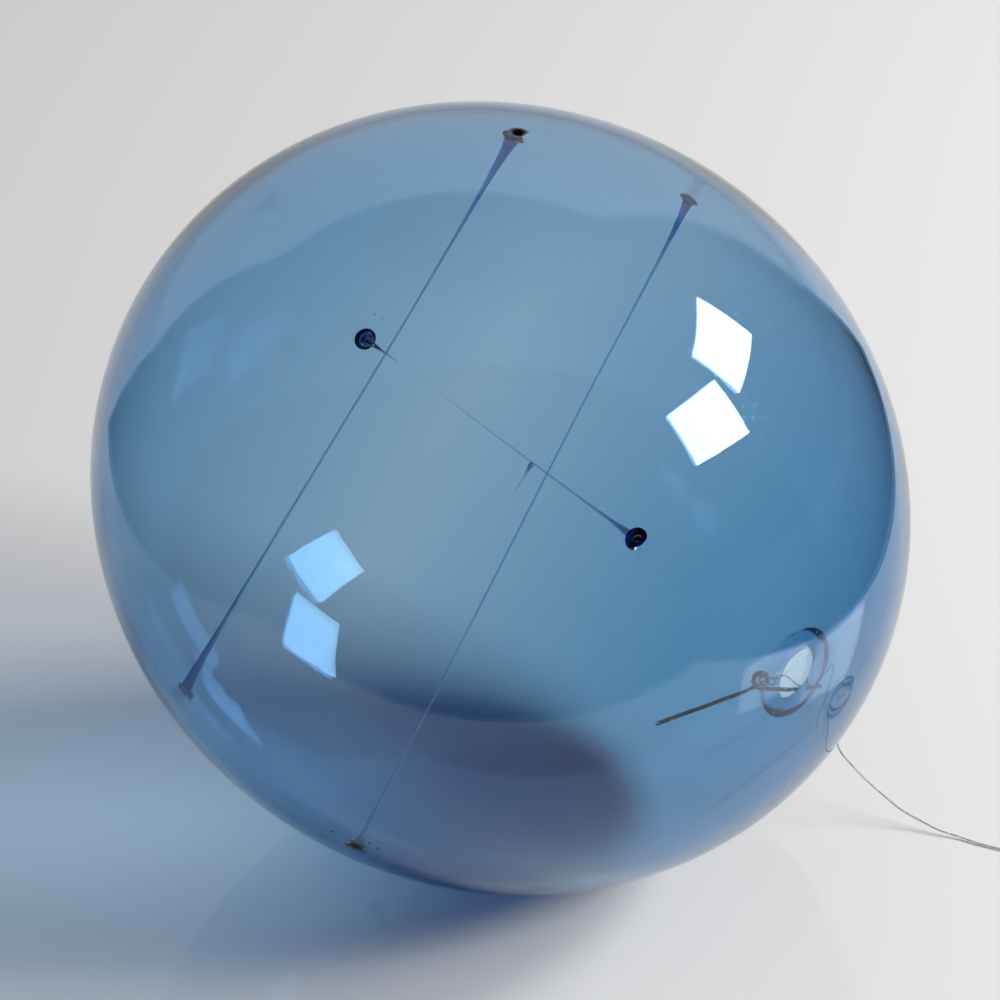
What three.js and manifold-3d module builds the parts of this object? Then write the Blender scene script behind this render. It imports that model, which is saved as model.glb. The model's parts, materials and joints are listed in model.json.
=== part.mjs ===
// A hanging ball of thin blown glass. Threads of glass are drawn across its hollow inside, a bent
// wire toggle sits in its mouth, and a clear nylon line is tied to the toggle's eye. The ball lies
// on a table with its mouth low and to the right. Millimetres and degrees, +Z up, the table at
// z = 0 and the origin straight below the middle of the ball.
import * as THREE from 'three';
import { mergeVertices } from 'three/addons/utils/BufferGeometryUtils.js';
import Module from 'manifold-3d';

// ---- Driving dimensions ----

const ballHalfLength = 82.5;      // middle of the ball to its mouth end, along the blowing axis
const ballHalfWidth = 75.5;       // middle of the ball to its side, square to that axis
const wall = 2;                   // thickness of the blown wall
const mouthDip = 40;              // the blowing axis points this far below level at the mouth
const mouthTurn = 14;             // and this far back from +X
const mouthRadius = 5.7;          // clear hole, inside the melted lip
const lipThickness = 4;           // the lip is a melted ring, twice as thick as the wall
const gap = 0.3;                  // kept between pieces that touch

// Each thread foot is placed on the wall by two angles: from the mouth end, then round the axis.
const leftThreadTop = [125, 85.5];
const leftThreadBottom = [109, -88.5];
const rightThreadTop = [82.5, 58.5];
const rightThreadBottom = [93.5, -130.5];
const brokenThreadFront = [100.5, 156];
const brokenThreadRear = [95, -8];
const frontStubLength = 101;      // what is left of the broken thread at its front foot
const rearStubLength = 21;        // and at its rear foot
const threadRadius = 0.2;
const pitRadius = 1.5;            // dimple in the outside of the wall behind each foot
const pitDepth = 1.1;
const dripStart = 52;             // along the broken thread from its front foot
const dripLength = 6;
const dripRadius = 0.4;
const dripDirection = new THREE.Vector3(0, -0.32, -0.95);

// The toggle is one wire: a long arm, a coiled eye and a short arm that pokes out of the mouth.
const wireRadius = 0.43;
const eyeRadius = 1.45;           // to the middle of the wire
const eyeTurns = 2;
const eyePitch = 1;               // the turns lie side by side
const longArm = 24;
const shortArm = 14.8;
const longArmRise = 22;           // degrees that the long arm slopes into the ball
const longArmSwing = 14.5;        // and that it swings sideways from straight down
const eyeInset = 5.2;             // eye's middle, inwards from the middle of the lip
const eyeSide = 0.12;             // eye's middle, sideways and down, in mouth radii
const eyeDrop = 0.99;
const aimSide = -0.5;             // where the short arm aims in the hole's outer face, in mouth radii
const aimRise = 0.14;

// The nylon line
const lineRadius = 0.2;
const loopRadius = 1.7;           // the loop that holds the eye, to the middle of the line
const loopLean = 50;              // degrees that the knot sits round behind the eye
const loopSwing = 6;               // and that the loop swings towards the arms
const knotRadius = 0.5;
const knotLength = 1.5;

// From the knot through the mouth, round in a springy curl and down to the table: chosen points
const lineRoute = [
  [57.1, 16.4, 24.5], [57.9, 17, 24.2], [59, 17, 23.5], [60.5, 16.1, 22.6], [62.5, 14.9, 22.3],
  [64.8, 14.5, 22.4], [67.2, 15.2, 22.7],
  [69, 17.6, 23.3], [70.3, 19.4, 24], [70.9, 18.2, 24.3], [70.5, 15.8, 23.8], [69.7, 12.6, 22.4],
  [68.7, 9.9, 20], [68.1, 7.7, 17.5], [68.2, 6, 15.6], [69, 5, 13.8], [70.8, 4.5, 11.6],
  [74.3, 3.4, 8], [77.6, 2, 5.4], [81.4, -0.3, 3.2], [85.3, -2.2, 1.8], [89, -4.2, 0.9],
  [93, -5.8, 0.45], [96.3, -7.6, 0.3], [99, -8.8, 0.3], [102, -10, 0.3], [106, -11.9, 0.35],
  [110, -13.9, 0.6], [113.6, -15.3, 1.1],
];

// The rest of the line, put away as a coil that lies on the table and holds its end loop
const coilRadius = 10;            // to the middle of the bundle
const bundleRadius = 0.75;        // of the turns together
const coilMiddle = new THREE.Vector3(119, -6, 1.6);
const tieThickness = 0.5;
const tieWidth = 2.2;
const tieTurn = 60;               // degrees round the coil from +X
const endLoopRadius = 4;

// ---- Glass, steel and nylon ----

const blueGlass = { color: 0x5f93b8, roughness: 0.03, metalness: 0, transparent: true, opacity: 0.35 };
const darkGlass = { color: 0x24517c, roughness: 0.05, metalness: 0 };
const steelWire = { color: 0x5a5d60, roughness: 0.35, metalness: 1 };
const clearNylon = { color: 0xc9ccce, roughness: 0.25, metalness: 0 };
const paperTie = { color: 0xd8d2c4, roughness: 0.9, metalness: 0 };

function piece(name, geometry, look) {
  const mesh = new THREE.Mesh(geometry, new THREE.MeshStandardMaterial(look));
  mesh.name = name;
  return mesh;
}

// ---- Joining and cutting solids ----

const wasm = await Module();
wasm.setup();

function toSolid(geometry) {
  const bare = geometry.clone();
  bare.deleteAttribute('normal');
  bare.deleteAttribute('uv');
  const merged = mergeVertices(bare, 1e-4);
  return new wasm.Manifold(new wasm.Mesh({
    numProp: 3,
    vertProperties: new Float32Array(merged.attributes.position.array),
    triVerts: new Uint32Array(merged.index.array),
  }));
}

function toGeometry(solid) {
  const mesh = solid.getMesh();
  const geometry = new THREE.BufferGeometry();
  geometry.setAttribute('position', new THREE.BufferAttribute(mesh.vertProperties, 3));
  geometry.setIndex(new THREE.BufferAttribute(mesh.triVerts, 1));
  return geometry;
}

// ---- The ball's own frame: +X runs from its middle out through the mouth ----

const radians = THREE.MathUtils.degToRad;
const X = new THREE.Vector3(1, 0, 0);
const Y = new THREE.Vector3(0, 1, 0);
const Z = new THREE.Vector3(0, 0, 1);

// A point at two angles on the ball, at some depth below its outer surface
function onWall([fromMouth, round], depth = 0) {
  const t = radians(fromMouth);
  const side = (ballHalfWidth - depth) * Math.sin(t);
  return new THREE.Vector3(
    (ballHalfLength - depth) * Math.cos(t),
    side * Math.cos(radians(round)),
    side * Math.sin(radians(round)),
  );
}

// Turn a solid that was revolved about +Y so that it starts at one point and runs to another
function aim(geometry, start, direction) {
  const turn = new THREE.Quaternion().setFromUnitVectors(Y, direction.clone().normalize());
  return geometry.applyQuaternion(turn).translate(start.x, start.y, start.z);
}

// A bare ellipsoid of revolution about +X, used only to trim what stands inside the ball
function ellipsoid(depth, steps = 20, sides = 32) {
  const outline = [];
  for (let i = 0; i <= steps; i++) {
    const t = Math.PI * (1 - i / steps);
    outline.push(new THREE.Vector2(
      Math.abs((ballHalfWidth - depth) * Math.sin(t)) * (i % steps === 0 ? 0 : 1),
      (ballHalfLength - depth) * Math.cos(t),
    ));
  }
  return aim(new THREE.LatheGeometry(outline, sides), new THREE.Vector3(), X);
}

// ---- The blown shell, with its melted lip and a dimple behind every thread foot ----

const lipRadius = lipThickness / 2;
const lipCircle = mouthRadius + lipRadius;
const lipAlong = (ballHalfLength - wall / 2)
  * Math.sqrt(1 - (lipCircle / (ballHalfWidth - wall / 2)) ** 2);

function shell() {
  const rings = 26;
  const sides = 48;
  const lipSteps = 8;
  // The wall runs into the lip where the lip's circle is as high as the wall is thick.
  const lipMeets = Math.acos(wall / 2 / lipRadius);
  const wallEnd = Math.asin((lipCircle + lipRadius * Math.sin(lipMeets)) / ballHalfWidth);
  const outline = [];
  for (let i = 0; i <= rings; i++) {
    const t = Math.PI + (wallEnd - Math.PI) * (i / rings);
    outline.push([ballHalfWidth * Math.sin(t) * (i ? 1 : 0), ballHalfLength * Math.cos(t)]);
  }
  for (let i = 1; i < lipSteps; i++) {
    const t = lipMeets - (Math.PI + 2 * lipMeets) * (i / lipSteps);
    outline.push([lipCircle + lipRadius * Math.sin(t), lipAlong + lipRadius * Math.cos(t)]);
  }
  for (let i = rings; i >= 0; i--) {
    const t = Math.PI + (wallEnd - Math.PI) * (i / rings);
    outline.push([
      (ballHalfWidth - wall) * Math.sin(t) * (i ? 1 : 0),
      (ballHalfLength - wall) * Math.cos(t),
    ]);
  }
  const points = outline.map(([out, along]) => new THREE.Vector2(out, along));
  let solid = toSolid(aim(new THREE.LatheGeometry(points, sides), new THREE.Vector3(), X));
  for (const foot of feet) solid = solid.subtract(toSolid(pit(foot)));
  return toGeometry(solid);
}

const feet = [
  leftThreadTop, leftThreadBottom, rightThreadTop, rightThreadBottom,
  brokenThreadFront, brokenThreadRear,
];

function outward(foot) {
  const at = onWall(foot);
  return new THREE.Vector3(
    at.x / ballHalfLength ** 2, at.y / ballHalfWidth ** 2, at.z / ballHalfWidth ** 2,
  ).normalize();
}

function pit(foot) {
  const above = 1;
  const mouthOut = pitRadius * (pitDepth + above) / pitDepth;
  const outline = [[0, -pitDepth], [mouthOut, above], [0, above]];
  const cone = new THREE.LatheGeometry(outline.map(([out, up]) => new THREE.Vector2(out, up)), 8);
  return aim(cone, onWall(foot), outward(foot));
}

// ---- Glass threads: a trumpet at each foot, trimmed to stand just clear of the wall ----

const roomInside = toSolid(ellipsoid(wall + gap));

function flare(distance, foot, reach) {
  return threadRadius + foot * Math.exp(-distance / reach);
}

// A thread that starts outside the wall, so that trimming gives its foot the wall's own curve
function thread(start, end, length, nearFoot, farFoot) {
  const stops = [0, 1, 3, 6, 10, 16, 26, 40];
  const profile = stops.filter((s) => s < length / 2).map((s) => [flare(s, ...nearFoot), s]);
  const far = farFoot
    ? stops.filter((s) => s < length / 2).map((s) => [flare(s, ...farFoot), length - s]).reverse()
    : [[threadRadius * 0.5, length]];
  const outline = [[0, 0], ...profile, ...far, [0, length]];
  const direction = end.clone().sub(start);
  const turned = new THREE.LatheGeometry(
    outline.map(([out, up]) => new THREE.Vector2(out, up)), 8,
  );
  return toGeometry(toSolid(aim(turned, start, direction)).intersect(roomInside));
}

function wholeThread(top, bottom, topFoot, bottomFoot) {
  const start = onWall(top, wall / 2);
  const end = onWall(bottom, wall / 2);
  return thread(start, end, start.distanceTo(end), topFoot, bottomFoot);
}

function stub(foot, towards, length, shape) {
  return thread(onWall(foot, wall / 2), onWall(towards, wall / 2), length, shape, null);
}

function drip() {
  const front = onWall(brokenThreadFront, wall / 2);
  const along = onWall(brokenThreadRear, wall / 2).sub(front).normalize();
  const away = dripDirection.clone().normalize();
  const start = front.addScaledVector(along, dripStart)
    .addScaledVector(away, threadRadius * 2 + gap);
  const outline = [[0, 0], [dripRadius, 0.5], [dripRadius * 0.5, 2.5], [0.08, dripLength], [0, dripLength]];
  const drop = new THREE.LatheGeometry(outline.map(([out, up]) => new THREE.Vector2(out, up)), 6);
  return aim(drop, start, away);
}

// ---- The wire toggle ----

const eye = new THREE.Vector3(
  lipAlong - eyeInset, eyeSide * mouthRadius, -eyeDrop * mouthRadius,
);
const crossing = new THREE.Vector3(
  lipAlong + lipRadius, aimSide * mouthRadius, aimRise * mouthRadius,
);
const shortWay = crossing.clone().sub(eye).normalize();
const longWay = new THREE.Vector3(
  -Math.sin(radians(longArmRise)),
  Math.cos(radians(longArmRise)) * Math.sin(radians(longArmSwing)),
  -Math.cos(radians(longArmRise)) * Math.cos(radians(longArmSwing)),
);
const eyeAxis = new THREE.Vector3().crossVectors(longWay, shortWay).normalize();

// A tube with flat ends along a curve
function tube(curve, radius, steps, sides = 8) {
  const section = new THREE.Shape();
  for (let i = 0; i < sides; i++) {
    const t = 2 * Math.PI * i / sides;
    if (i) section.lineTo(radius * Math.cos(t), radius * Math.sin(t));
    else section.moveTo(radius, 0);
  }
  return new THREE.ExtrudeGeometry(section, { steps, extrudePath: curve, bevelEnabled: false });
}

class ToggleWire extends THREE.Curve {
  constructor() {
    super();
    // The ring's own directions: u points from the eye's middle to where the arms leave it.
    this.u = longWay.clone().add(shortWay).normalize().negate();
    this.v = new THREE.Vector3().crossVectors(eyeAxis, this.u);
    const offset = (way) => way.clone().cross(eyeAxis).normalize();
    this.from = this.angleOf(offset(longWay).negate());
    this.to = this.angleOf(offset(shortWay));
    while (this.to < this.from) this.to += 2 * Math.PI;
    this.to += 2 * Math.PI * (eyeTurns - 1);
    this.arc = (this.to - this.from) * eyeRadius;
    this.whole = longArm + this.arc + shortArm;
  }

  angleOf(direction) {
    return Math.atan2(direction.dot(this.v), direction.dot(this.u));
  }

  ring(angle) {
    const turned = (angle - this.from) / (this.to - this.from) - 0.5;
    return eye.clone()
      .addScaledVector(this.u, eyeRadius * Math.cos(angle))
      .addScaledVector(this.v, eyeRadius * Math.sin(angle))
      .addScaledVector(eyeAxis, turned * eyePitch * eyeTurns);
  }

  getPoint(t) {
    const at = t * this.whole;
    if (at < longArm) {
      return this.ring(this.from).addScaledVector(longWay, longArm - at);
    }
    if (at > longArm + this.arc) {
      return this.ring(this.to).addScaledVector(shortWay, at - longArm - this.arc);
    }
    return this.ring(this.from + (at - longArm) / eyeRadius);
  }
}

// ---- Rings and knots ----

const lathePoints = (outline) => outline.map(([out, up]) => new THREE.Vector2(out, up));

// A closed ring of round section about +Y
function ring(ringRadius, sectionRadius, sides, sectionSides) {
  const outline = [];
  for (let i = 0; i <= sectionSides; i++) {
    const t = 2 * Math.PI * (i % sectionSides) / sectionSides;
    outline.push([ringRadius + sectionRadius * Math.cos(t), sectionRadius * Math.sin(t)]);
  }
  return new THREE.LatheGeometry(lathePoints(outline), sides);
}

// A short sleeve about +Y, with its middle at the origin
function sleeve(inner, outer, width) {
  const outline = [
    [inner, -width / 2], [outer, -width / 2], [outer, width / 2], [inner, width / 2],
    [inner, -width / 2],
  ];
  return new THREE.LatheGeometry(lathePoints(outline), 12);
}

// A pulled-up knot, a small barrel that stands on the origin along +Y
function knot() {
  const waist = knotRadius * 0.6;
  const outline = [
    [0, 0], [waist, 0], [knotRadius, knotLength * 0.3], [knotRadius, knotLength * 0.7],
    [waist, knotLength], [0, knotLength],
  ];
  return new THREE.LatheGeometry(lathePoints(outline), 10);
}

// ---- The nylon loop through the eye, and its knot ----

const toggleWire = new ToggleWire();
// From the eye's middle, the loop crosses the ring at the rim and leans behind the arms.
const rimWay = shortWay.clone().multiplyScalar(Math.cos(radians(loopSwing)))
  .addScaledVector(toggleWire.u, -Math.sin(radians(loopSwing))).normalize();
const loopMiddle = eye.clone().addScaledVector(rimWay, eyeRadius);
const knotWay = rimWay.clone().multiplyScalar(Math.cos(radians(loopLean)))
  .addScaledVector(eyeAxis, -Math.sin(radians(loopLean)));
const knotStart = loopMiddle.clone().addScaledVector(knotWay, loopRadius + lineRadius + gap);

function eyeLoop() {
  const across = new THREE.Vector3().crossVectors(rimWay, eyeAxis);
  return aim(ring(loopRadius, lineRadius, 20, 8), loopMiddle, across);
}

// ---- The line, and the coil that lies on the table ----

class LineRoute extends THREE.CatmullRomCurve3 {
  constructor() {
    super(lineRoute.map(([x, y, z]) => new THREE.Vector3(x, y, z)), false, 'centripetal');
  }
}

function coil() {
  return aim(ring(coilRadius, bundleRadius, 40, 8), coilMiddle, Z);
}

function coilTie() {
  const t = radians(tieTurn);
  const along = new THREE.Vector3(-Math.sin(t), Math.cos(t), 0);
  const middle = new THREE.Vector3(Math.cos(t), Math.sin(t), 0)
    .multiplyScalar(coilRadius).add(coilMiddle);
  return aim(sleeve(bundleRadius + gap, bundleRadius + gap + tieThickness, tieWidth), middle, along);
}

const endKnotStart = new THREE.Vector3(
  coilMiddle.x + coilRadius - bundleRadius - gap - knotLength, coilMiddle.y, knotRadius + 0.05,
);
const endLoopMiddle = new THREE.Vector3(
  endKnotStart.x - gap - lineRadius - endLoopRadius, coilMiddle.y, lineRadius + 0.05,
);

// ---- Assembly ----

const object = new THREE.Group();
const ball = new THREE.Group();
ball.rotation.set(0, radians(mouthDip), radians(mouthTurn), 'ZYX');

const glassShell = piece('glass_shell', shell(), blueGlass);
ball.add(glassShell);
ball.add(piece('strand_left', wholeThread(leftThreadTop, leftThreadBottom, [1.2, 7], [1.1, 11]), darkGlass));
ball.add(piece('strand_right', wholeThread(rightThreadTop, rightThreadBottom, [1, 7], [0.5, 4]), darkGlass));
ball.add(piece('strand_front', stub(brokenThreadFront, brokenThreadRear, frontStubLength, [1.1, 6]), darkGlass));
ball.add(piece('strand_rear', stub(brokenThreadRear, brokenThreadFront, rearStubLength, [1.3, 4]), darkGlass));
ball.add(piece('strand_drip', drip(), darkGlass));
ball.add(piece('wire_toggle', tube(toggleWire, wireRadius, 76), steelWire));
ball.add(piece('line_loop', eyeLoop(), clearNylon));
ball.add(piece('loop_knot', aim(knot(), knotStart, knotWay), clearNylon));
object.add(ball);

// The lowest point of the shell stands on the table, below the middle of its outline.
object.updateMatrixWorld(true);
const box = new THREE.Box3().setFromObject(glassShell, true);
ball.position.set(-(box.min.x + box.max.x) / 2, -(box.min.y + box.max.y) / 2, -box.min.z);

object.add(piece('hanging_line', tube(new LineRoute(), lineRadius, 78), clearNylon));
object.add(piece('line_coil', coil(), clearNylon));
object.add(piece('coil_tie', coilTie(), paperTie));
object.add(piece('end_loop', aim(ring(endLoopRadius, lineRadius, 32, 8), endLoopMiddle, Z), clearNylon));
object.add(piece('end_knot', aim(knot(), endKnotStart, X), clearNylon));

export default object;
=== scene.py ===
# %% [markdown]
# # A hanging ball of thin blown glass
# The real thing is a hollow ball of blue glass, blown on a pipe and broken off at a small melted mouth.
# Threads of the same glass are drawn across its hollow. A bent wire toggle sits in the mouth and a clear
# nylon line is tied to it, so that the ball can hang in a window. Here it lies on a pale, polished table.
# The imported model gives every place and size. This script makes the fine surfaces around it.

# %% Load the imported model
import json
import math

import bmesh
import bpy
from mathutils import Matrix, Vector, noise


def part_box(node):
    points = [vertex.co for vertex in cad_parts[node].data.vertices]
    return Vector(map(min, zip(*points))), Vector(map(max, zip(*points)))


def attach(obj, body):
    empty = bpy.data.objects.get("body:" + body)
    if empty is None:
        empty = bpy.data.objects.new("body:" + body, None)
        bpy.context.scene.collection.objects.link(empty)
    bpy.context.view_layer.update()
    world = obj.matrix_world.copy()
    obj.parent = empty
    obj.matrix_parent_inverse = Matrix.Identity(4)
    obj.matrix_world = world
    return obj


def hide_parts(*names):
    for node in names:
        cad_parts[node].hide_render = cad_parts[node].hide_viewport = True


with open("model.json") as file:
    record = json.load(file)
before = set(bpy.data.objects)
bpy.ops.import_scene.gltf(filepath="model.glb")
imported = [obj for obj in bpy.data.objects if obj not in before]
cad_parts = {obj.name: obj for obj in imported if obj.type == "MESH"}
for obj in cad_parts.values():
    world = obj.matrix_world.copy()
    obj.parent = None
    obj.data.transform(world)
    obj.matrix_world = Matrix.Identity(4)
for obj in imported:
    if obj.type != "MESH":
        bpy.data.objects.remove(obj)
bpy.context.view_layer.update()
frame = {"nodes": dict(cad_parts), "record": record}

MM = 0.001

# %% [markdown]
# ## Where the ball is
# A blown ball is longer along the pipe than across it. The record's hanging point gives the middle of the
# mouth and the way it faces, and the shell's box gives the middle of the ball. With those two, anything
# can be placed in the ball's own frame: X out through the mouth, Y level, Z across both.

# %% The ball's own frame
lowest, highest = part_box("glass_shell")
MIDDLE = (Vector(lowest) + Vector(highest)) / 2
MOUTH_WAY = Vector(frame["record"]["mounts"][0]["axis"]).normalized()
LEVEL_WAY = Vector((0, 0, 1)).cross(MOUTH_WAY).normalized()
ACROSS_WAY = MOUTH_WAY.cross(LEVEL_WAY)
BALL = Matrix((MOUTH_WAY, LEVEL_WAY, ACROSS_WAY)).transposed().to_4x4()
BALL.translation = MIDDLE
print("middle of the ball, mm:", [round(c / MM, 2) for c in MIDDLE])

# %% [markdown]
# ## The camera
# The ball is seen from a little above, as by someone standing at the table. A long lens from a short way
# off keeps its outline close to a true oval.

# %% Camera
CAMERA_RISE = math.radians(33)
CAMERA_DISTANCE = 0.8
CAMERA_AIM = MIDDLE + Vector((-0.6 * MM, 0, 0))

camera_data = bpy.data.cameras.new("camera")
camera_data.lens = 148.1
camera_data.sensor_width = 36
camera = bpy.data.objects.new("camera", camera_data)
back = Vector((0, -math.cos(CAMERA_RISE), math.sin(CAMERA_RISE)))
camera.location = CAMERA_AIM + CAMERA_DISTANCE * back
camera.rotation_mode = "QUATERNION"
camera.rotation_quaternion = (-back).to_track_quat("-Z", "Y")
bpy.context.collection.objects.link(camera)
bpy.context.scene.camera = camera
bpy.context.scene.view_settings.view_transform = "Standard"
print("camera at, mm:", [round(c / MM) for c in camera.location])

# %% [markdown]
# ## A smooth line through chosen points
# The nylon line and the wire are both bent stock of an even thickness. A curve with a round bevel is the
# plainest way to make such stock: its own line is the middle of the wire. The points between the chosen
# ones are worked out here with the centripetal Catmull-Rom rule, which never loops back at a tight bend.

# %% Helpers for bent stock
def smooth_points(points, steps=8):
    ghosts = [2 * points[0] - points[1], *points, 2 * points[-1] - points[-2]]
    made = []
    for p0, p1, p2, p3 in zip(ghosts, ghosts[1:], ghosts[2:], ghosts[3:]):
        t0 = 0
        t1 = t0 + math.sqrt((p1 - p0).length)
        t2 = t1 + math.sqrt((p2 - p1).length)
        t3 = t2 + math.sqrt((p3 - p2).length)
        for step in range(steps):
            t = t1 + (t2 - t1) * step / steps
            a1 = (t1 - t) / (t1 - t0) * p0 + (t - t0) / (t1 - t0) * p1
            a2 = (t2 - t) / (t2 - t1) * p1 + (t - t1) / (t2 - t1) * p2
            a3 = (t3 - t) / (t3 - t2) * p2 + (t - t2) / (t3 - t2) * p3
            b1 = (t2 - t) / (t2 - t0) * a1 + (t - t0) / (t2 - t0) * a2
            b2 = (t3 - t) / (t3 - t1) * a2 + (t - t1) / (t3 - t1) * a3
            made.append((t2 - t) / (t2 - t1) * b1 + (t - t1) / (t2 - t1) * b2)
    made.append(points[-1])
    return made


def length_of(points):
    return sum((b - a).length for a, b in zip(points, points[1:]))


def bent_stock(name, points, radius, closed=False, thick=None):
    data = bpy.data.curves.new(name, "CURVE")
    data.dimensions = "3D"
    data.bevel_depth = radius
    data.bevel_resolution = 4
    data.use_fill_caps = True
    spline = data.splines.new("POLY")
    spline.points.add(len(points) - 1)
    for i, point in enumerate(points):
        spline.points[i].co = (*point, 1)
        spline.points[i].radius = thick[i] if thick else 1
    spline.use_cyclic_u = closed
    spline.use_smooth = True
    piece = bpy.data.objects.new(name, data)
    bpy.context.collection.objects.link(piece)
    return piece


# %% [markdown]
# ## The nylon line
# Clear fishing line, 0.4 mm thick, comes off its spool springy. It leaves the knot at the toggle, goes out
# through the mouth, makes a small curl under the ball and reaches the table. The stretch up to the coil
# follows listed points, the same ones that the imported model uses.

# %% Route of the line, from the knot to the coil
LINE_RADIUS = 0.2 * MM
LINE_ROUTE = [
    (57.1, 16.4, 24.5), (57.9, 17, 24.2), (59, 17, 23.5), (60.5, 16.1, 22.6), (62.5, 14.9, 22.3),
    (64.8, 14.5, 22.4), (67.2, 15.2, 22.7), (69, 17.6, 23.3), (70.3, 19.4, 24), (70.9, 18.2, 24.3),
    (70.5, 15.8, 23.8), (69.7, 12.6, 22.4), (68.7, 9.9, 20), (68.1, 7.7, 17.5), (68.2, 6, 15.6),
    (69, 5, 13.8), (70.8, 4.5, 11.6), (74.3, 3.4, 8), (77.6, 2, 5.4), (81.4, -0.3, 3.2),
    (85.3, -2.2, 1.8), (89, -4.2, 0.9), (93, -5.8, 0.45), (96.3, -7.6, 0.3), (99, -8.8, 0.3),
    (102, -10, 0.3), (106, -11.9, 0.35), (110, -13.9, 0.6), (113.6, -15.3, 1.1),
]
route = [Vector(point) * MM for point in LINE_ROUTE]
print("chosen stretch, mm:", round(length_of(smooth_points(route)) / MM, 1))

# %% [markdown]
# The rest is wound up as for storage. Each turn lies beside the last one, so the turns are laid out on a
# small circle that itself goes slowly round the bundle. A loop gives 24 points to each turn.

# %% Turns of the coil, and the tail into the end knot
COIL_MIDDLE = Vector((119, -6, 1.6)) * MM
COIL_RADIUS = 10 * MM
BUNDLE_OFFSET = 0.5 * MM
COIL_START = -120
COIL_SWEEP = 2255
POINTS_PER_TURN = 24
TURNS_ROUND_BUNDLE = 6.5
FIRST_LAY = -34

coil = []
coil_steps = round(COIL_SWEEP / 360 * POINTS_PER_TURN)
for i in range(1, coil_steps + 1):
    swept = COIL_SWEEP * i / coil_steps
    angle = math.radians(COIL_START + swept)
    lay = math.radians(FIRST_LAY + swept / TURNS_ROUND_BUNDLE)
    out = COIL_RADIUS + BUNDLE_OFFSET * math.cos(lay)
    coil.append(COIL_MIDDLE + Vector((
        out * math.cos(angle), out * math.sin(angle), BUNDLE_OFFSET * math.sin(lay),
    )))
TAIL = [(129, -8.4, 1.2), (129.3, -7.1, 0.9), (129, -6.2, 0.65), (128.4, -5.97, 0.55), (128, -6, 0.55)]
tail = [Vector(point) * MM for point in TAIL]
line_points = smooth_points([*route, *coil[:-1], *tail], steps=6)
line = bent_stock("nylon_line", line_points, LINE_RADIUS)
print("whole line, mm:", round(length_of(line_points) / MM, 1))

# %% [markdown]
# The line ends in a small loop, made by a knot, that goes over a hook. A pulled-up knot is a few tight
# wraps, so it is a short helix of the same line.

# %% End loop, knots and paper tie
WRAP_POINTS = 16


def wraps(name, start, way, width, length, turns=3.5):
    side = way.orthogonal().normalized()
    other = way.cross(side)
    points = []
    steps = round(turns * WRAP_POINTS)
    for i in range(steps + 1):
        angle = math.tau * turns * i / steps
        along = length * i / steps
        points.append(start + way * along + (side * math.cos(angle) + other * math.sin(angle)) * width)
    return bent_stock(name, points, LINE_RADIUS)


def ring_points(middle, radius, side, other, count=64, squeeze=1):
    made = []
    for i in range(count):
        angle = math.tau * i / count
        made.append(middle + side * radius * math.cos(angle) + other * radius * squeeze * math.sin(angle))
    return made


X, Y = Vector((1, 0, 0)), Vector((0, 1, 0))
END_LOOP_RADIUS = 4 * MM
END_LOOP_SQUEEZE = 0.9
KNOT_LENGTH = 1.5 * MM
KNOT_WIDTH = 0.28 * MM
end_knot_start = Vector((126.45, -6, 0.55)) * MM
end_loop_middle = Vector((121.95, -6, 0.25)) * MM
end_knot = wraps("nylon_end_knot", end_knot_start, X, KNOT_WIDTH, KNOT_LENGTH)
end_loop_points = ring_points(end_loop_middle, END_LOOP_RADIUS, X, Y, squeeze=END_LOOP_SQUEEZE)
end_loop = bent_stock("nylon_end_loop", end_loop_points, LINE_RADIUS, True)
print("end loop, mm across:", round(2 * END_LOOP_RADIUS / MM))


def turned_mesh(name, outline, sides, place, closed_outline=False):
    """outline holds (out from the axis, along the axis). The axis is the X of place."""
    points, faces, rows = [], [], []
    for out, along in outline:
        if out < 1e-9:
            rows.append([len(points)] * sides)
            points.append(place @ Vector((along, 0, 0)))
            continue
        rows.append([len(points) + i for i in range(sides)])
        for i in range(sides):
            angle = math.tau * i / sides
            points.append(place @ Vector((along, out * math.cos(angle), out * math.sin(angle))))
    pairs = list(zip(rows, rows[1:]))
    if closed_outline:
        pairs.append((rows[-1], rows[0]))
    for row, following in pairs:
        for i in range(sides):
            j = (i + 1) % sides
            corners = [row[i], row[j], following[j], following[i]]
            kept = [c for n, c in enumerate(corners) if c not in corners[:n]]
            if len(kept) > 2:
                faces.append(kept)
    mesh = bpy.data.meshes.new(name)
    mesh.from_pydata(points, [], faces)
    mesh.polygons.foreach_set("use_smooth", [True] * len(faces))
    mesh.update()
    piece = bpy.data.objects.new(name, mesh)
    bpy.context.collection.objects.link(piece)
    return piece


def aimed(start, way):
    side = way.orthogonal().normalized()
    place = Matrix((way, side, way.cross(side))).transposed().to_4x4()
    place.translation = start
    return place


TIE_ANGLE = math.radians(60)
TIE_INSIDE, TIE_OUTSIDE, TIE_EDGE = 1.18, 1.42, 0.95
TIE_ROUNDING = 0.13
TIE_CORNERS = [
    (TIE_OUTSIDE, TIE_EDGE, 0), (TIE_INSIDE, TIE_EDGE, 90),
    (TIE_INSIDE, -TIE_EDGE, 180), (TIE_OUTSIDE, -TIE_EDGE, 270),
]
TIE_CORNER_STEPS = 4
tie_way = Vector((-math.sin(TIE_ANGLE), math.cos(TIE_ANGLE), 0))
tie_middle = COIL_MIDDLE + COIL_RADIUS * Vector((math.cos(TIE_ANGLE), math.sin(TIE_ANGLE), 0))
tie_outline = []
for corner_out, corner_along, first in TIE_CORNERS:
    for step in range(TIE_CORNER_STEPS + 1):
        angle = math.radians(first + 90 * step / TIE_CORNER_STEPS)
        out = (corner_out + TIE_ROUNDING * math.cos(angle)) * MM
        tie_outline.append((out, (corner_along + TIE_ROUNDING * math.sin(angle)) * MM))
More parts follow.
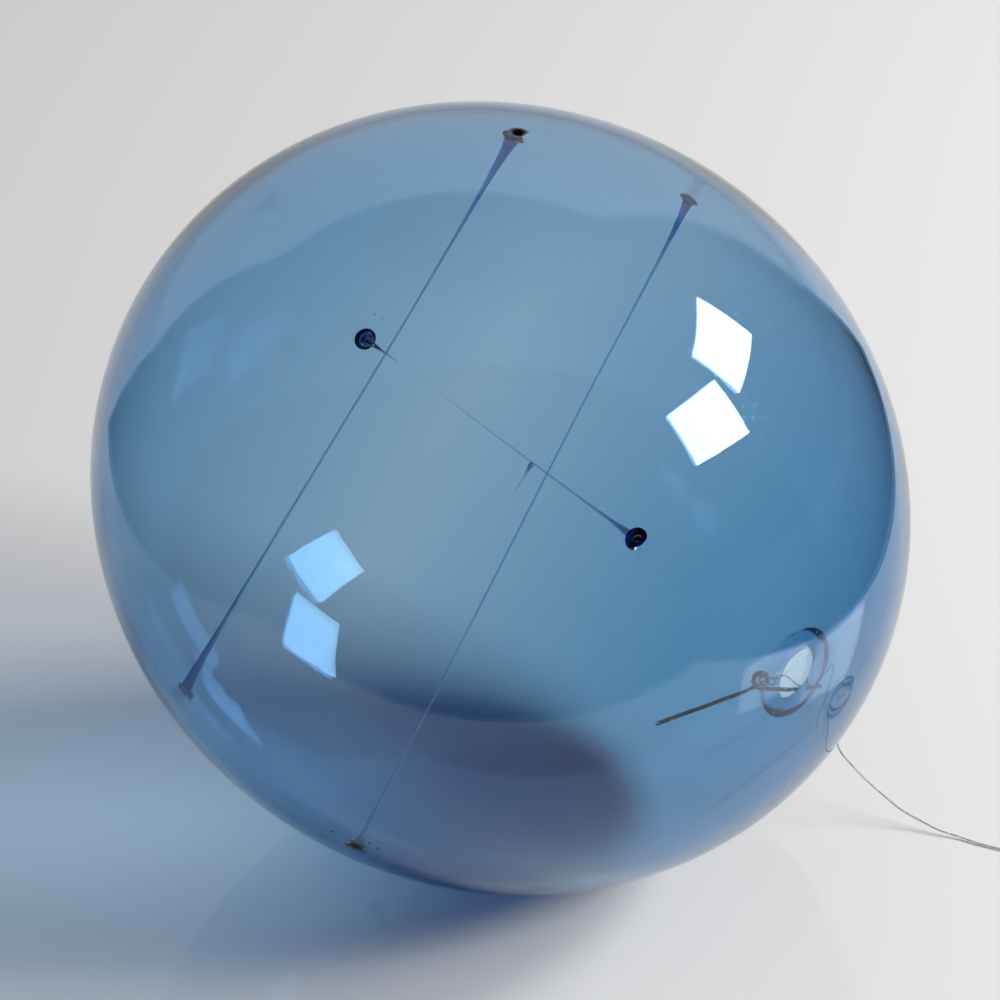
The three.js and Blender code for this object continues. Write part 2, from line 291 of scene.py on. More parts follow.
tie = turned_mesh("paper_tie", tie_outline, 40, aimed(tie_middle, tie_way), closed_outline=True)
print("tie faces:", len(tie.data.polygons))

# %% [markdown]
# ## The blown shell
# Glass shows every unevenness of its two faces, so the shell has a real wall with an outer and an inner
# face. A profile turned about the axis of the pipe gives both, joined by the round lip that the flame
# left at the mouth. The wall is then moved a few hundredths of a millimetre in and out by slow noise, a
# different noise on each face, because a ball blown free of a mould is never quite true.

# %% Shell outline
HALF_LENGTH = 82.5 * MM
HALF_WIDTH = 75.5 * MM
WALL = 2 * MM
MOUTH_RADIUS = 5.7 * MM
LIP_RADIUS = 2 * MM
SHELL_RINGS = 120
SHELL_SIDES = 192
LIP_STEPS = 20

lip_circle = MOUTH_RADIUS + LIP_RADIUS
lip_along = (HALF_LENGTH - WALL / 2) * math.sqrt(1 - (lip_circle / (HALF_WIDTH - WALL / 2)) ** 2)
lip_meets = math.acos(WALL / 2 / LIP_RADIUS)
wall_end = math.asin((lip_circle + LIP_RADIUS * math.sin(lip_meets)) / HALF_WIDTH)


def wall_row(ring, depth):
    angle = math.pi + (wall_end - math.pi) * ring / SHELL_RINGS
    out = (HALF_WIDTH - depth) * math.sin(angle) if ring else 0
    return out, (HALF_LENGTH - depth) * math.cos(angle)


outer = [wall_row(ring, 0) for ring in range(SHELL_RINGS + 1)]
inner = [wall_row(ring, WALL) for ring in range(SHELL_RINGS, -1, -1)]
lip = []
for i in range(1, LIP_STEPS):
    angle = lip_meets - (math.pi + 2 * lip_meets) * i / LIP_STEPS
    lip.append((lip_circle + LIP_RADIUS * math.sin(angle), lip_along + LIP_RADIUS * math.cos(angle)))
shell = turned_mesh("blown_shell", [*outer, *lip, *inner], SHELL_SIDES, BALL)
into_ball = BALL.inverted()
print("shell faces:", len(shell.data.polygons))

# %% [markdown]
# ## The dimples and the threads
# While the ball was hot a pointed rod pushed the wall in and drew a thread of glass from one side to the
# other. Each thread has a trumpet-shaped foot on the inside, and a dimple is left outside behind it. The
# threads are turned profiles: thin in the middle, with a foot that falls off by a power of e, as stretched
# glass does. Each thread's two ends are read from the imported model.

# %% Ends of a packed thread
def ends_of(node):
    points = [vertex.co.copy() for vertex in frame["nodes"][node].data.vertices]
    far = max(points, key=lambda p: (p - points[0]).length)
    other = max(points, key=lambda p: (p - far).length)
    return [middle_near(points, far), middle_near(points, other)]


def middle_near(points, end, reach=3.2 * MM):
    near = [p for p in points if (p - end).length < reach]
    low = Vector([min(p[i] for p in near) for i in range(3)])
    high = Vector([max(p[i] for p in near) for i in range(3)])
    return (low + high) / 2


def on_wall(point, way, depth):
    """Where the line from point along way reaches the face that lies this deep in the wall."""
    squash = Matrix.Diagonal((1 / (HALF_LENGTH - depth), 1 / (HALF_WIDTH - depth), 1 / (HALF_WIDTH - depth)))
    start = squash @ (into_ball @ point)
    step = squash @ (into_ball.to_3x3() @ way)
    half = start.dot(step)
    root = math.sqrt(half ** 2 - step.length_squared * (start.length_squared - 1))
    return point + way * (root - half) / step.length_squared


def wall_normal(point):
    local = into_ball @ point
    normal = Vector((local.x / HALF_LENGTH ** 2, local.y / HALF_WIDTH ** 2, local.z / HALF_WIDTH ** 2))
    return (BALL.to_3x3() @ normal).normalized()


# %% Thread shapes
THREAD_RADIUS = 0.2 * MM
ROOT_FILLET = 0.9 * MM
ROOT_REACH = 0.45 * MM
SINK = 1.15 * MM
THREAD_STEPS = 120
THREAD_SIDES = 28
FINE_STEP = 0.15 * MM
FINE_STEPS = 13
FREE_END_TAPER = 0.65
FREE_END_TIP = 0.1 * MM
# How a foot goes on inside the wall: (share of its width, share of the sink).
SUNK_FOOT = [(0, 1), (0.7, 0.9), (1.25, 0.45)]


def flare(distance, foot, reach):
    trumpet = foot * math.exp(-distance / reach)
    fillet = ROOT_FILLET * math.exp(-distance / ROOT_REACH)
    return THREAD_RADIUS + trumpet + fillet


def thread(name, start, end, near_foot, far_foot, free_end=False):
    way = (end - start).normalized()
    length = (end - start).length
    stops = [length * (1 - math.cos(math.pi * i / THREAD_STEPS)) / 2 for i in range(THREAD_STEPS + 1)]
    fine = [FINE_STEP * i for i in range(1, FINE_STEPS + 1)]
    stops = sorted({*stops, *fine, *(length - s for s in fine)})
    outline = [(near_foot[0] * wide, -SINK * deep) for wide, deep in SUNK_FOOT]
    for stop in stops:
        radius = flare(stop, *near_foot)
        if free_end:
            radius *= 1 - FREE_END_TAPER * (stop / length) ** 2
        else:
            radius += flare(length - stop, *far_foot) - THREAD_RADIUS
        outline.append((radius, stop))
    if free_end:
        outline.append((0, length + FREE_END_TIP))
    else:
        outline += [(far_foot[0] * wide, length + SINK * deep) for wide, deep in reversed(SUNK_FOOT)]
    return turned_mesh(name, outline, THREAD_SIDES, aimed(start, way))


# How far each foot flares out and how quickly it falls off, in mm: at the top, then at the bottom.
THREAD_FEET = {
    "strand_left": ((1.2, 7), (1.1, 11)),
    "strand_right": ((1, 7), (0.5, 4)),
}
threads = []
feet = []
for node, (top_foot, bottom_foot) in THREAD_FEET.items():
    bottom, top = sorted(ends_of(node), key=lambda p: p.z)
    way = (bottom - top).normalized()
    start = on_wall(top, -way, WALL)
    end = on_wall(bottom, way, WALL)
    shape_top = [value * MM for value in top_foot]
    shape_bottom = [value * MM for value in bottom_foot]
    made = thread(node.replace("strand", "glass_thread"), start, end, shape_top, shape_bottom)
    threads.append((made, node))
    feet += [on_wall(top, -way, 0), on_wall(bottom, way, 0)]
    print(node, "thread, mm:", round((end - start).length / MM, 1))

# %% The broken thread, its two stubs and the drip on it
STUB_FEET = {"strand_front": (1.1, 6), "strand_rear": (1.3, 4)}
for node, foot in STUB_FEET.items():
    root, tip = sorted(ends_of(node), key=lambda p: -(p - MIDDLE).length)
    way = (tip - root).normalized()
    start = on_wall(root, -way, WALL)
    shape = [value * MM for value in foot]
    made = thread(node.replace("strand", "glass_stub"), start, tip, shape, None, free_end=True)
    threads.append((made, node))
    feet.append(on_wall(root, -way, 0))
    print(node, "stub, mm:", round((tip - start).length / MM, 1))

DRIP_BACK = 1.9 * MM
DRIP_SIDES = 20
DRIP_OUTLINE = [
    (0, 0), (0.33, 0.12), (0.5, 0.5), (0.4, 1.1), (0.24, 2), (0.14, 3.4), (0.08, 6.4), (0, 6.9),
]
drip_ends = sorted(ends_of("strand_drip"), key=lambda p: -p.z)
drip_way = (BALL.to_3x3() @ Vector((0, -0.32, -0.95))).normalized()
front_foot, front_tip = sorted(ends_of("strand_front"), key=lambda p: -(p - MIDDLE).length)
front_way = (front_tip - front_foot).normalized()
drip_start = front_foot + front_way * ((drip_ends[0] - front_foot).dot(front_way) - DRIP_BACK)
drip_outline = [(out * MM, along * MM) for out, along in DRIP_OUTLINE]
drip = turned_mesh("glass_drip", drip_outline, DRIP_SIDES, aimed(drip_start, drip_way))
threads.append((drip, "strand_drip"))
print("drip, mm long:", DRIP_OUTLINE[-1][1])

# %% [markdown]
# Each dimple is smaller than the faces of the shell, so the outer face is first cut finer round every foot
# and the new points are put back on the true oval. Then one pass moves every point: slow unevenness,
# which dies away towards the mouth, and the dimples.

# %% Finer faces round the feet
DIMPLE_REACH = 5 * MM


def share_of(local):
    return math.sqrt((local.x / HALF_LENGTH) ** 2 + (local.y ** 2 + local.z ** 2) / HALF_WIDTH ** 2)


def is_outer(local):
    return share_of(local) > 1 - WALL / 2 / HALF_WIDTH


def cut_finer(body, places, rounds=3):
    fine = bmesh.new()
    fine.from_mesh(body.data)
    for turn in range(rounds):
        reach = DIMPLE_REACH * (1.6 - 0.3 * turn)
        near = {
            vertex for vertex in fine.verts
            if is_outer(into_ball @ vertex.co) and any((vertex.co - place).length < reach for place in places)
        }
        edges = [edge for edge in fine.edges if edge.verts[0] in near and edge.verts[1] in near]
        made = bmesh.ops.subdivide_edges(fine, edges=edges, cuts=1, use_grid_fill=True)
        for item in made["geom_inner"]:
            if isinstance(item, bmesh.types.BMVert):
                local = into_ball @ item.co
                item.co = BALL @ (local / share_of(local))
    fine.to_mesh(body.data)
    fine.free()
    body.data.polygons.foreach_set("use_smooth", [True] * len(body.data.polygons))
    body.data.update()


before = len(shell.data.polygons)
cut_finer(shell, feet)
print("shell faces before and after:", before, len(shell.data.polygons))

# %% Uneven wall and dimples
UNEVEN = 0.07 * MM
UNEVEN_SCALE = 26
CALM_REACH = 12 * MM
INNER_FACE_SEED = Vector((7.3, 2.1, 4.4))
DIMPLE_DEPTH = 1.15 * MM
DIMPLE_WIDTH = 1 * MM


def dimple_at(point):
    nearest = min((point - place).length for place in feet)
    return DIMPLE_DEPTH * math.exp(-((nearest / DIMPLE_WIDTH) ** 2)) if nearest < DIMPLE_REACH else 0


for vertex in shell.data.vertices:
    local = into_ball @ vertex.co
    outside = is_outer(local)
    calm = min(1, (HALF_LENGTH - local.x) / CALM_REACH)
    seed = Vector() if outside else INNER_FACE_SEED
    inwards = UNEVEN * calm * noise.noise(local * UNEVEN_SCALE + seed)
    if outside:
        inwards += dimple_at(vertex.co)
    vertex.co -= wall_normal(vertex.co) * inwards
shell.data.update()
print("dimples:", len(feet))

# %% [markdown]
# ## The wire toggle
# One piece of steel wire, bent round a pin twice to make an eye, with two arms. It is pushed in through the
# mouth end first and then lies across it inside, so it can't come out. Its sizes and angles are those of
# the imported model, worked out again here in the ball's own frame. Each cut end is drawn in a little, as
# pliers leave it.

# %% Toggle
WIRE_RADIUS = 0.43 * MM
EYE_RADIUS = 1.45 * MM
EYE_TURNS = 2
EYE_PITCH = 1 * MM
LONG_ARM = 24 * MM
SHORT_ARM = 14.8 * MM
LONG_ARM_RISE = math.radians(22)
LONG_ARM_SWING = math.radians(14.5)

eye = BALL @ Vector((lip_along - 5.2 * MM, 0.12 * MOUTH_RADIUS, -0.99 * MOUTH_RADIUS))
crossing = BALL @ Vector((lip_along + LIP_RADIUS, -0.5 * MOUTH_RADIUS, 0.14 * MOUTH_RADIUS))
short_way = (crossing - eye).normalized()
long_way = BALL.to_3x3() @ Vector((
    -math.sin(LONG_ARM_RISE),
    math.cos(LONG_ARM_RISE) * math.sin(LONG_ARM_SWING),
    -math.cos(LONG_ARM_RISE) * math.cos(LONG_ARM_SWING),
))
eye_axis = long_way.cross(short_way).normalized()
ring_u = -(long_way + short_way).normalized()
ring_v = eye_axis.cross(ring_u)


def ring_angle(way):
    return math.atan2(way.dot(ring_v), way.dot(ring_u))


ring_from = ring_angle(-long_way.cross(eye_axis))
ring_to = ring_angle(short_way.cross(eye_axis))
while ring_to < ring_from:
    ring_to += math.tau
ring_to += math.tau * (EYE_TURNS - 1)


def on_ring(angle):
    turned = (angle - ring_from) / (ring_to - ring_from) - 0.5
    flat = eye + ring_u * EYE_RADIUS * math.cos(angle) + ring_v * EYE_RADIUS * math.sin(angle)
    return flat + eye_axis * turned * EYE_PITCH * EYE_TURNS


RING_STEPS = 72
ARM_STOPS = [1, 0.992, 0.97, 0.9, 0.75, 0.6, 0.45, 0.3, 0.15, 0.05]
sag = eye_axis * 0.25 * MM
wire_points = []
for stop in ARM_STOPS:
    bow = sag * math.sin(math.pi * stop)
    wire_points.append(on_ring(ring_from) + long_way * LONG_ARM * stop + bow)
for i in range(RING_STEPS + 1):
    wire_points.append(on_ring(ring_from + (ring_to - ring_from) * i / RING_STEPS))
for stop in reversed(ARM_STOPS):
    wire_points.append(on_ring(ring_to) + short_way * SHORT_ARM * stop)
thickness = [0.72, 0.96] + [1] * (len(wire_points) - 4) + [0.96, 0.72]
toggle = bent_stock("steel_toggle", wire_points, WIRE_RADIUS, thick=thickness)
print("wire in the toggle, mm:", round(length_of(wire_points) / MM, 1))

# %% [markdown]
# ## The small loop that holds the eye
# The line goes once through the eye and is knotted behind it, so the toggle can swing on the loop.

# %% Loop and knot
LOOP_RADIUS = 1.7 * MM
LOOP_LEAN = math.radians(50)
LOOP_SWING = math.radians(6)
KNOT_GAP = 0.3 * MM
rim_way = (short_way * math.cos(LOOP_SWING) - ring_u * math.sin(LOOP_SWING)).normalized()
loop_middle = eye + rim_way * EYE_RADIUS
knot_way = rim_way * math.cos(LOOP_LEAN) - eye_axis * math.sin(LOOP_LEAN)
loop_across = rim_way.cross(eye_axis)
loop_other = loop_across.cross(knot_way)
loop_points = ring_points(loop_middle, LOOP_RADIUS, knot_way, loop_other)
loop = bent_stock("nylon_loop", loop_points, LINE_RADIUS, True)
knot_start = loop_middle + knot_way * (LOOP_RADIUS + LINE_RADIUS + KNOT_GAP)
knot = wraps("nylon_knot", knot_start, knot_way, KNOT_WIDTH, KNOT_LENGTH)
print("knot at, mm:", [round(c / MM, 1) for c in knot_start])

# %% [markdown]
# ## Finishes
# Each finish is a small tree of nodes in the object's own space, so it holds in every view. A helper adds
# a node and sets its values, to keep the recipes short.

# %% Helpers for finishes
def new_finish(name):
    finish = bpy.data.materials.new(name)
    finish.use_nodes = True
    finish.node_tree.nodes.clear()
    return finish


def add(tree, kind, **values):
    node = tree.nodes.new(kind)
    for key, value in values.items():
        if hasattr(node, key):
            setattr(node, key, value)
        else:
            node.inputs[key.replace("_", " ")].default_value = value
    return node


def grain(tree, scale, detail=3, roughness=0.5):
    where = add(tree, "ShaderNodeTexCoord")
    texture = add(tree, "ShaderNodeTexNoise", Scale=scale, Detail=detail, Roughness=roughness)
    tree.links.new(where.outputs["Object"], texture.inputs["Vector"])
    return texture


def ramp(tree, source, low, high, low_value, high_value):
    """Turns the stretch of source from low to high into values from low_value to high_value."""
    span = add(tree, "ShaderNodeMapRange", clamp=True)
    for key, value in (("From Min", low), ("From Max", high), ("To Min", low_value), ("To Max", high_value)):
        span.inputs[key].default_value = value
    tree.links.new(source, span.inputs["Value"])
    return span.outputs["Result"]


def math_node(tree, operation, first, second):
    node = add(tree, "ShaderNodeMath", operation=operation)
    for socket, value in zip(node.inputs, (first, second)):
        if isinstance(value, (int, float)):
            socket.default_value = value
        else:
            tree.links.new(value, socket)
    return node.outputs[0]


# %% [markdown]
# ### Blue glass
# Cobalt glass is clear. Its colour builds up with the thickness that light goes through, so the colour is
# put in the volume and the faces stay clear. Light from the lamps passes straight through, tinted, for a
# soft blue shadow. Years of handling leave fine scratches and dust, seen only where they catch a lamp:
# thin stretched noise raises the roughness along short lines, and a slow ripple bends the reflections.
# The lamps' light that leaves the wall at a slant is partly turned aside, most of all the red. The glass
# is thickest where it hung from the pipe, so its colour is deeper round the mouth, and a little deeper
# at the closed end.

# %% Blue glass
GLASS_BEND = 1.5
SCRATCH_STRETCH = (420, 2600, 1300)
SCRATCH_TURN = (0.4, 0.7, 0.9)
LOST_AT_EDGES = {"Red": 0.75, "Green": 0.6, "Blue": 0.45}
DEEP_TINT = (0.4, 0.66, 0.82, 1)
CLOSED_END_SHARE = 0.45


def deeper_at_mouth(tree, where):
    """1 round the mouth, fading to 0 towards the widest ring, and a little again at the closed end."""
    offset = add(tree, "ShaderNodeVectorMath", operation="SUBTRACT")
    offset.inputs[1].default_value = MIDDLE
    tree.links.new(where.outputs["Object"], offset.inputs[0])
    way = add(tree, "ShaderNodeVectorMath", operation="NORMALIZE")
    tree.links.new(offset.outputs[0], way.inputs[0])
    along = add(tree, "ShaderNodeVectorMath", operation="DOT_PRODUCT")
    along.inputs[1].default_value = MOUTH_WAY
    tree.links.new(way.outputs[0], along.inputs[0])
    mouth_end = ramp(tree, along.outputs["Value"], 0.25, 0.92, 0, 1)
    closed_end = ramp(tree, along.outputs["Value"], -0.6, -0.95, 0, CLOSED_END_SHARE)
    return math_node(tree, "MAXIMUM", mouth_end, closed_end)


def glass_finish(name, tint, density, ripple, scratched, deep=True):
    finish = new_finish(name)
    tree = finish.node_tree
    output = add(tree, "ShaderNodeOutputMaterial")
    body = add(tree, "ShaderNodeBsdfPrincipled", IOR=GLASS_BEND)
    body.inputs["Base Color"].default_value = (1, 1, 1, 1)
    body.inputs["Transmission Weight"].default_value = 1

    where = add(tree, "ShaderNodeTexCoord")
    if deep:
        tinted = add(tree, "ShaderNodeMix", data_type="RGBA")
        tinted.inputs[6].default_value = (1, 1, 1, 1)
        tinted.inputs[7].default_value = DEEP_TINT
        tree.links.new(deeper_at_mouth(tree, where), tinted.inputs[0])
        tree.links.new(tinted.outputs[2], body.inputs["Base Color"])
    stretch = add(tree, "ShaderNodeMapping")
    stretch.inputs["Scale"].default_value = SCRATCH_STRETCH
    stretch.inputs["Rotation"].default_value = SCRATCH_TURN
    tree.links.new(where.outputs["Object"], stretch.inputs["Vector"])
    hair = add(tree, "ShaderNodeTexNoise", Scale=1, Detail=2, Roughness=0.5)
    tree.links.new(stretch.outputs["Vector"], hair.inputs["Vector"])
    hairs = ramp(tree, hair.outputs["Fac"], 0.66, 0.74, 0, 1)
    patch = ramp(tree, grain(tree, 30, 2).outputs["Fac"], 0.45, 0.62, 0, 1)
    dust = ramp(tree, grain(tree, 900, 1).outputs["Fac"], 0.7, 0.78, 0, 1)
    marks = math_node(tree, "MAXIMUM", math_node(tree, "MULTIPLY", hairs, patch), dust)
    roughness = ramp(tree, marks, 0, 1, 0.0, scratched)
    tree.links.new(roughness, body.inputs["Roughness"])

    bump = add(tree, "ShaderNodeBump")
    bump.inputs["Strength"].default_value = 1
    bump.inputs["Distance"].default_value = ripple
    tree.links.new(grain(tree, 60, 2).outputs["Fac"], bump.inputs["Height"])
    tree.links.new(bump.outputs["Normal"], body.inputs["Normal"])

    clear = add(tree, "ShaderNodeBsdfTransparent")
    facing = add(tree, "ShaderNodeFresnel", IOR=GLASS_BEND)
    passed = add(tree, "ShaderNodeCombineColor")
    for channel, lost in LOST_AT_EDGES.items():
        tree.links.new(ramp(tree, facing.outputs[0], 0, 1, 1, 1 - lost), passed.inputs[channel])
    tree.links.new(passed.outputs[0], clear.inputs["Color"])
    light_path = add(tree, "ShaderNodeLightPath")
    mix = add(tree, "ShaderNodeMixShader")
    lamps = math_node(
        tree, "MAXIMUM", light_path.outputs["Is Shadow Ray"], light_path.outputs["Is Diffuse Ray"],
    )
    tree.links.new(lamps, mix.inputs[0])
    tree.links.new(body.outputs[0], mix.inputs[1])
    tree.links.new(clear.outputs[0], mix.inputs[2])
    tree.links.new(mix.outputs[0], output.inputs["Surface"])

    colour = add(tree, "ShaderNodeVolumeAbsorption")
    colour.inputs["Color"].default_value = (*tint, 1)
    colour.inputs["Density"].default_value = density
    tree.links.new(colour.outputs[0], output.inputs["Volume"])
    return finish


COBALT = (0, 0.47, 0.77)
WALL_DENSITY = 270
# The threads are the wall's glass, but their colour here is seven times denser: partly the deep colour of
# light running a long way through the glass of the feet, partly painted shade for the darkness that bending
# and inner mirroring give the threads and their hollow feet.
THREAD_DENSITY_AND_SHADE = 1900
blue_glass = glass_finish("blue_glass", COBALT, WALL_DENSITY, 0.02 * MM, 0.22)
thread_glass = glass_finish("thread_glass", COBALT, THREAD_DENSITY_AND_SHADE, 0.01 * MM, 0.1, deep=False)
print("absorbed per mm of wall, red green blue:", [round(WALL_DENSITY * MM * (1 - c), 2) for c in COBALT])

# %% [markdown]
# ### Steel, nylon and paper
# The wire is old mild steel: dull grey metal with brown oxide in patches. Nylon line is nearly clear, a
# little milky, and darker at its edges. The tie is a strip of pale paper on a thin wire.

# %% Steel, nylon, paper
def plain_finish(name, low, high, scale, metal, rough, bump_height, through=0.0):
    finish = new_finish(name)
    tree = finish.node_tree
    output = add(tree, "ShaderNodeOutputMaterial")
    body = add(tree, "ShaderNodeBsdfPrincipled", Metallic=metal)
    body.inputs["Transmission Weight"].default_value = through
    speckle = grain(tree, scale, 4, 0.6)
    colours = add(tree, "ShaderNodeValToRGB")
    colours.color_ramp.elements[0].position = 0.38
    colours.color_ramp.elements[1].position = 0.66
    colours.color_ramp.elements[0].color = (*low, 1)
    colours.color_ramp.elements[1].color = (*high, 1)
    tree.links.new(speckle.outputs["Fac"], colours.inputs["Fac"])
    tree.links.new(colours.outputs["Color"], body.inputs["Base Color"])
    tree.links.new(ramp(tree, speckle.outputs["Fac"], 0.3, 0.7, *rough), body.inputs["Roughness"])
    bump = add(tree, "ShaderNodeBump")
    bump.inputs["Distance"].default_value = bump_height
    tree.links.new(speckle.outputs["Fac"], bump.inputs["Height"])
    tree.links.new(bump.outputs["Normal"], body.inputs["Normal"])
    tree.links.new(body.outputs[0], output.inputs["Surface"])
    return finish


steel = plain_finish(
    "dull_steel", low=(0.025, 0.02, 0.016), high=(0.12, 0.12, 0.12), scale=1500, metal=0.6,
    rough=(0.5, 0.35), bump_height=0.02 * MM,
)
nylon = plain_finish(
    "clear_nylon", low=(0.5, 0.51, 0.52), high=(0.75, 0.76, 0.77), scale=900, metal=0,
    rough=(0.12, 0.3), bump_height=0.01 * MM, through=0.7,
)
paper = plain_finish(
    "pale_paper", low=(0.62, 0.58, 0.5), high=(0.8, 0.77, 0.7), scale=700, metal=0,
    rough=(0.8, 0.95), bump_height=0.04 * MM,
)

# %% Put the finishes on
def wear(piece, finish, slot, body, *nodes):
    piece.data.materials.clear()
    piece.data.materials.append(finish)
    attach(piece, body)
    if nodes:
        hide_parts(*nodes)


wear(shell, blue_glass, "blue_glass", "ball", "glass_shell")
for piece, node in threads:
    wear(piece, thread_glass, "dark_glass", "ball", node)
wear(toggle, steel, "steel_wire", "toggle", "wire_toggle")
wear(loop, nylon, "clear_nylon", "loop", "line_loop")
wear(knot, nylon, "clear_nylon", "loop", "loop_knot")
wear(line, nylon, "clear_nylon", "ball", "hanging_line", "line_coil")
wear(end_loop, nylon, "clear_nylon", "ball", "end_loop")
wear(end_knot, nylon, "clear_nylon", "ball", "end_knot")
wear(tie, paper, "paper_tie", "ball", "coil_tie")
print("pieces:", 7 + len(threads))

# %% [markdown]
# ## Table, lamps and room
# Glass is mostly a picture of what is round it. The ball lies on a small white table with a smooth top and
# a pale backdrop behind it. The room in front is dark, and two soft lamps stand to the right. The lamps
# that light the table and the panels that show in the glass are set apart, so each can have its own
# brightness. The table's edges only show in what the glass mirrors: past them the floor is painted near
# black, painted shade for the unlit room, and only mirrored rays see it.

# %% Table
TABLE_LEFT, TABLE_RIGHT, TABLE_FRONT = -0.257, 0.203, -0.187
SWEEP_LEFT, SWEEP_RIGHT, SWEEP_TOP = -1.3, 0.7, 1.25
FLOOR_SIZE = 8
FLOOR_GAP = 0.05 * MM


def flat_sheet(name, width, depth):
    x, y = width / 2, depth / 2
    mesh = bpy.data.meshes.new(name)
    mesh.from_pydata([(-x, -y, 0), (x, -y, 0), (x, y, 0), (-x, y, 0)], [], [(0, 1, 2, 3)])
    sheet = bpy.data.objects.new(name, mesh)
    bpy.context.collection.objects.link(sheet)
    return sheet


floor = flat_sheet("table_top", FLOOR_SIZE, FLOOR_SIZE)
floor.location.z = -FLOOR_GAP
laminate = new_finish("white_laminate")
tree = laminate.node_tree
output = add(tree, "ShaderNodeOutputMaterial")
top = add(tree, "ShaderNodeBsdfPrincipled", Roughness=0.02)
top.inputs["Base Color"].default_value = (0.8, 0.8, 0.8, 1)
# Painted shade: near black, for the unlit room past the table's edges; only mirrored rays see it.
painted_room_shade = add(tree, "ShaderNodeBsdfDiffuse")
painted_room_shade.inputs["Color"].default_value = (0.05, 0.05, 0.055, 1)
where = add(tree, "ShaderNodeNewGeometry")
axes = add(tree, "ShaderNodeSeparateXYZ")
tree.links.new(where.outputs["Position"], axes.inputs[0])
sweep_left = math_node(tree, "MULTIPLY", axes.outputs["Y"], SWEEP_LEFT)
sweep_right = math_node(tree, "MULTIPLY", axes.outputs["Y"], SWEEP_RIGHT)
left_edge = math_node(tree, "MINIMUM", sweep_left, TABLE_LEFT)
right_edge = math_node(tree, "MAXIMUM", sweep_right, TABLE_RIGHT)
past_left = math_node(tree, "LESS_THAN", axes.outputs["X"], left_edge)
past_right = math_node(tree, "GREATER_THAN", axes.outputs["X"], right_edge)
past_front = math_node(tree, "LESS_THAN", axes.outputs["Y"], TABLE_FRONT)
past = math_node(tree, "MAXIMUM", past_left, math_node(tree, "MAXIMUM", past_right, past_front))
light_path = add(tree, "ShaderNodeLightPath")
mirrored = math_node(tree, "GREATER_THAN", light_path.outputs["Glossy Depth"], 0.5)
mix = add(tree, "ShaderNodeMixShader")
tree.links.new(math_node(tree, "MULTIPLY", past, mirrored), mix.inputs[0])
tree.links.new(top.outputs[0], mix.inputs[1])
tree.links.new(painted_room_shade.outputs[0], mix.inputs[2])
tree.links.new(mix.outputs[0], output.inputs["Surface"])
floor.data.materials.append(laminate)
print("table edges at, mm:", [round(edge / MM) for edge in (TABLE_LEFT, TABLE_RIGHT, TABLE_FRONT)])

# %% Lamps
LAMP_DISTANCE = 1.75
# Each lamp: turn, rise and roll in degrees, width and height in metres.
LAMPS = {
    "lamp_back": (14.4, 31.2, -4.3, 0.565, 0.389),
    "lamp_front": (-11.3, 27.7, -11.5, 0.6, 0.4),
}
LAMP_POWER = 24
PANEL_GLOW = 16

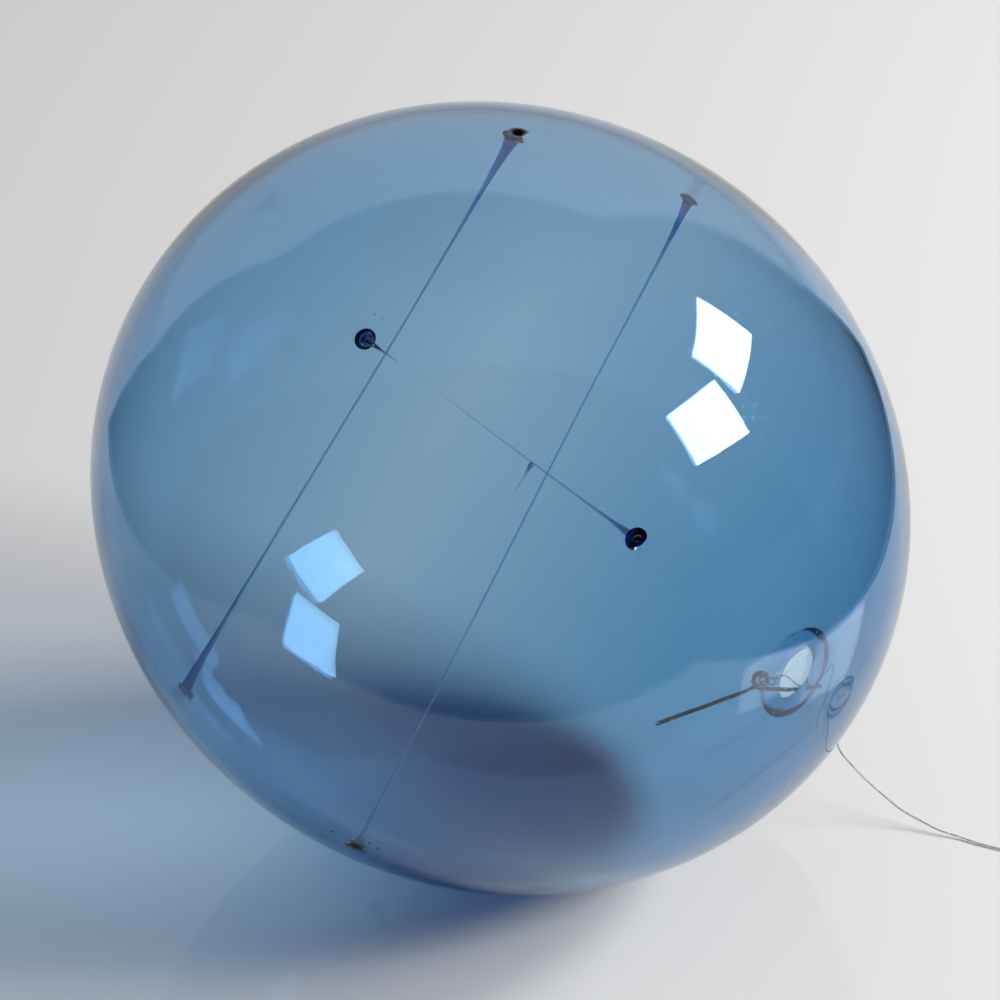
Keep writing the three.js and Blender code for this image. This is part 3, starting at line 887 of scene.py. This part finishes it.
for name, (turn, rise, roll, width, height) in LAMPS.items():
    turn, rise, roll = math.radians(turn), math.radians(rise), math.radians(roll)
    away = Vector((math.cos(rise) * math.cos(turn), math.cos(rise) * math.sin(turn), math.sin(rise)))
    level = Vector((-math.sin(turn), math.cos(turn), 0))
    side = level * math.cos(roll) + away.cross(level) * math.sin(roll)
    place = Matrix((side, away.cross(side), away)).transposed().to_4x4()
    place.translation = MIDDLE + away * LAMP_DISTANCE
    data = bpy.data.lights.new(name, "AREA")
    data.shape = "RECTANGLE"
    data.size = width
    data.size_y = height
    data.energy = LAMP_POWER
    lamp = bpy.data.objects.new(name, data)
    lamp.matrix_world = place
    lamp.visible_camera = False
    lamp.visible_glossy = False
    lamp.visible_transmission = False
    bpy.context.collection.objects.link(lamp)

    panel = flat_sheet(name + "_panel", width, height)
    panel.matrix_world = place
    panel.visible_camera = False
    panel.visible_diffuse = False
    panel.visible_shadow = False
    glow = new_finish(name + "_glow")
    shine = add(glow.node_tree, "ShaderNodeEmission", Strength=PANEL_GLOW)
    ending = add(glow.node_tree, "ShaderNodeOutputMaterial")
    glow.node_tree.links.new(shine.outputs[0], ending.inputs["Surface"])
    panel.data.materials.append(glow)
print("lamps:", len(LAMPS))

# %% [markdown]
# The room is a few brightnesses, one for each kind of light path. Straight looks see a pale surround, soft
# light gets a low fill, and mirrors see the backdrop, which ends at a left, a right and a top edge.

# %% Room
FILL = 0.15
PALE = 0.72
BACKDROP = 0.6
ROOM = 0.03
EDGE_BLUR = 0.03

world = bpy.data.worlds.new("room")
world.use_nodes = True
tree = world.node_tree
tree.nodes.clear()
output = add(tree, "ShaderNodeOutputWorld")
background = add(tree, "ShaderNodeBackground")
where = add(tree, "ShaderNodeTexCoord")
axes = add(tree, "ShaderNodeSeparateXYZ")
tree.links.new(where.outputs["Generated"], axes.inputs[0])


def inside_edge(axis, slope, sign):
    edge = math_node(tree, "MULTIPLY", axes.outputs["Y"], slope * sign)
    place = math_node(tree, "MULTIPLY", axes.outputs[axis], sign)
    return ramp(tree, math_node(tree, "SUBTRACT", edge, place), -EDGE_BLUR, EDGE_BLUR, 0, 1)


across = math_node(tree, "MULTIPLY", inside_edge("X", SWEEP_LEFT, -1), inside_edge("X", SWEEP_RIGHT, 1))
seen = math_node(tree, "MULTIPLY", across, inside_edge("Z", SWEEP_TOP, 1))
studio = ramp(tree, seen, 0, 1, ROOM, BACKDROP)
light_path = add(tree, "ShaderNodeLightPath")
straight = math_node(
    tree, "MAXIMUM", light_path.outputs["Is Camera Ray"], light_path.outputs["Is Transmission Ray"],
)
direct = ramp(tree, straight, 0, 1, FILL, PALE)
mirrored = math_node(tree, "GREATER_THAN", light_path.outputs["Glossy Depth"], 0.5)
keep = math_node(tree, "SUBTRACT", 1.0, mirrored)
level = math_node(
    tree, "ADD", math_node(tree, "MULTIPLY", studio, mirrored), math_node(tree, "MULTIPLY", direct, keep),
)
tree.links.new(level, background.inputs["Strength"])
tree.links.new(background.outputs[0], output.inputs["Surface"])
background.inputs["Color"].default_value = (1, 1, 1, 1)
bpy.context.scene.world = world
print("backdrop and room, as mirrored:", BACKDROP, ROOM)
